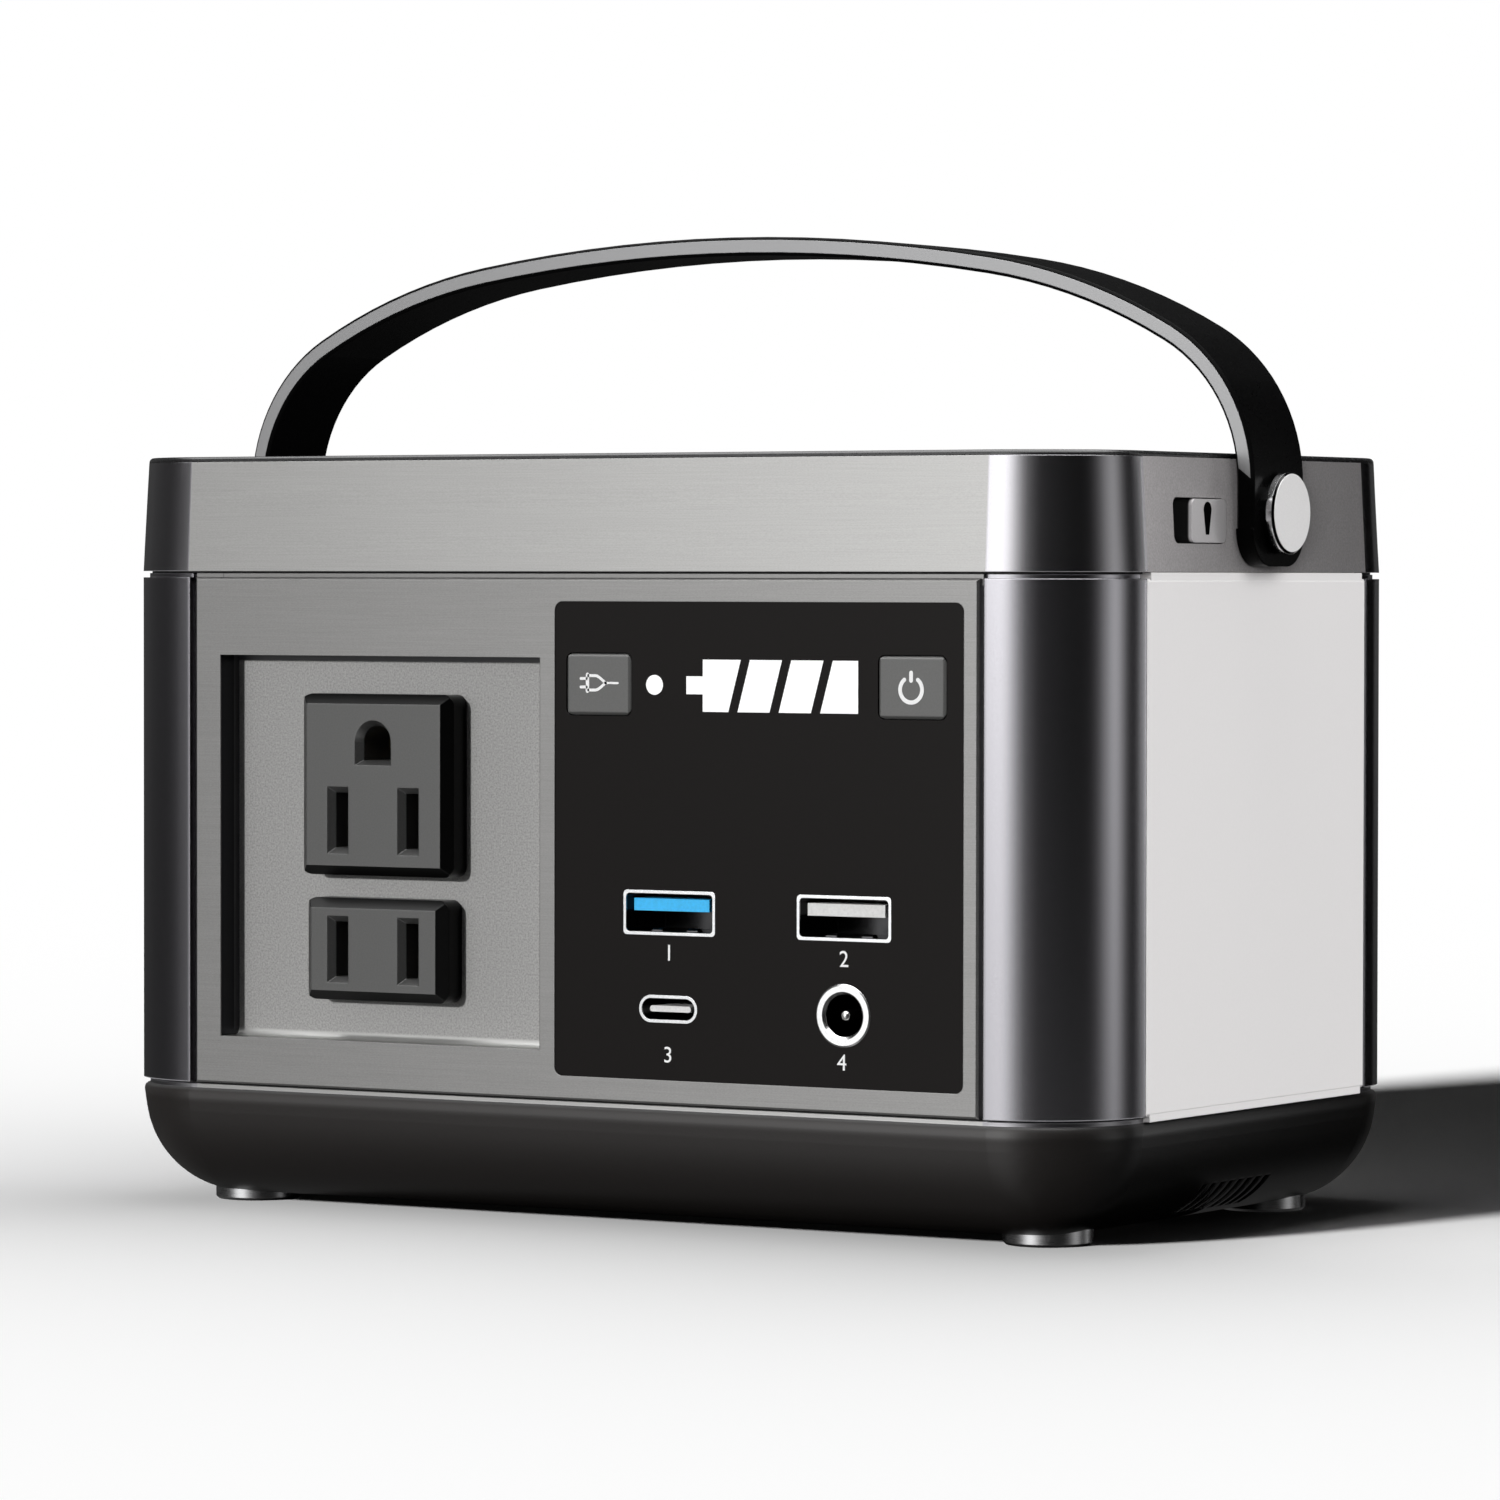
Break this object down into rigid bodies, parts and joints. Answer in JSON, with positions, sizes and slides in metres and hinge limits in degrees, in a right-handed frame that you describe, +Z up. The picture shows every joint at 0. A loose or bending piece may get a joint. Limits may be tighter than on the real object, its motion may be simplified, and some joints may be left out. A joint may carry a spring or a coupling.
{
  "type": "portable power station",
  "caption": "Small rounded power station: sunken outlet pan, control panel with buttons and charging ports, side area lamp, and a low arched carrying handle.",
  "frame": {"origin": "on the floor under the middle of the object", "axes": "+Z up, -Y out of the front panel, +X towards the lamp side"},
  "size_m": [0.1826, 0.103, 0.1468],
  "materials": {
    "base_plastic": "dark grey moulded, fine satin grain",
    "housing_gunmetal": "gunmetal metallic lacquer, glossy",
    "lid_gunmetal": "gunmetal metallic lacquer, satin gloss",
    "cap_black": "black, glossy",
    "gasket_rubber": "black, matte",
    "panel_silver": "silver, fine brushed lacquer",
    "lamp_diffuser": "milky frosted diffuser",
    "board_white": "white circuit board",
    "led_yellow": "phosphor yellow",
    "display_black": "black, glossy",
    "indicator_white": "translucent white",
    "button_grey": "grey, satin",
    "switch_black": "black, matte",
    "board_green": "green circuit board",
    "port_steel": "bright folded steel",
    "usb_blue": "bright blue",
    "usb_white": "white",
    "port_nickel": "bright nickel plate",
    "contact_brass": "bare brass",
    "socket_grey": "mid grey, satin",
    "ferrite": "dark ferrite",
    "winding_copper": "varnished copper",
    "sink_aluminium": "plain extruded",
    "capacitor_sleeve": "dark blue sleeve over a metal can",
    "cell_sleeve": "blue sleeve over a metal can",
    "holder_black": "black moulded",
    "nickel": "nickel strip",
    "screw_steel": "zinc plated",
    "switch_gunmetal": "gunmetal, satin gloss",
    "strap_black": "black, glossy",
    "trim_silver": "silver foil inlay, satin",
    "stud_silver": "pale satin anodised",
    "foot_metal": "machined, satin"
  },
  "bodies": {
    "housing": {"base_shell": "base_plastic", "mid_housing": "housing_gunmetal", "side_panel_left": "housing_gunmetal", "top_shell": "lid_gunmetal", "top_cap": "cap_black", "lower_gasket": "gasket_rubber", "upper_gasket": "gasket_rubber", "front_panel": "panel_silver", "rear_panel": "panel_silver", "lamp_lens": "lamp_diffuser", "lamp_board": "board_white", "lamp_leds": "led_yellow", "gauge_leds": "led_yellow", "display_panel": "display_black", "battery_gauge": "indicator_white", "status_light": "indicator_white", "tact_switches": "switch_black", "lamp_switch_body": "switch_black", "dc_in_jack": "switch_black", "fan_frame": "switch_black", "control_board": "board_green", "inverter_board": "board_green", "bms_board": "board_green", "usb_a_shell_1": "port_steel", "usb_a_shell_2": "port_steel", "usb_c_shell": "port_steel", "usb_a_tongue_1": "usb_blue", "usb_a_tongue_2": "usb_white", "usb_c_tongue": "usb_white", "dc_out_barrel": "port_nickel", "dc_out_pin": "contact_brass", "outlet_contacts": "contact_brass", "outlet_grounded": "socket_grey", "outlet_ungrounded": "socket_grey", "transformer_core": "ferrite", "transformer_winding": "winding_copper", "heat_sink": "sink_aluminium", "capacitors": "capacitor_sleeve", "battery_cells": "cell_sleeve", "cell_holder_lower": "holder_black", "cell_holder_upper": "holder_black", "nickel_strips": "nickel", "fan_screws": "screw_steel", "case_screws": "screw_steel", "board_screws": "screw_steel", "pivot_nuts": "screw_steel", "pivot_washers": "screw_steel", "pivot_stud_left": "stud_silver", "pivot_stud_right": "stud_silver", "foot_front_left": "foot_metal", "foot_front_right": "foot_metal", "foot_rear_left": "foot_metal", "foot_rear_right": "foot_metal"},
    "handle": {"handle_strap": "strap_black", "handle_trim_front": "trim_silver", "handle_trim_rear": "trim_silver"},
    "ac_button": {"ac_button": "button_grey"},
    "power_button": {"power_button": "button_grey"},
    "lamp_switch": {"lamp_switch": "switch_gunmetal"},
    "fan": {"fan_rotor": "switch_black"}
  },
  "joints": [
    {"name": "handle_pivot", "type": "hinge", "parent": "housing", "child": "handle", "pos_m": [0, 0, 0.1049], "axis": [1, 0, 0], "range_deg": [-14, 14]},
    {"name": "ac_button_press", "type": "slide", "parent": "housing", "child": "ac_button", "axis": [0, 1, 0], "range_m": [0, 0.0006], "stiffness_N_per_m": 1500, "springref_m": -0.0003},
    {"name": "power_button_press", "type": "slide", "parent": "housing", "child": "power_button", "axis": [0, 1, 0], "range_m": [0, 0.0006], "stiffness_N_per_m": 1500, "springref_m": -0.0003},
    {"name": "lamp_switch_slide", "type": "slide", "parent": "housing", "child": "lamp_switch", "axis": [0, -1, 0], "range_m": [0, 0.0046]},
    {"name": "fan_spin", "type": "hinge", "parent": "housing", "child": "fan", "pos_m": [-0.0756, 0.008, 0.05], "axis": [1, 0, 0], "continuous": true}
  ]
}
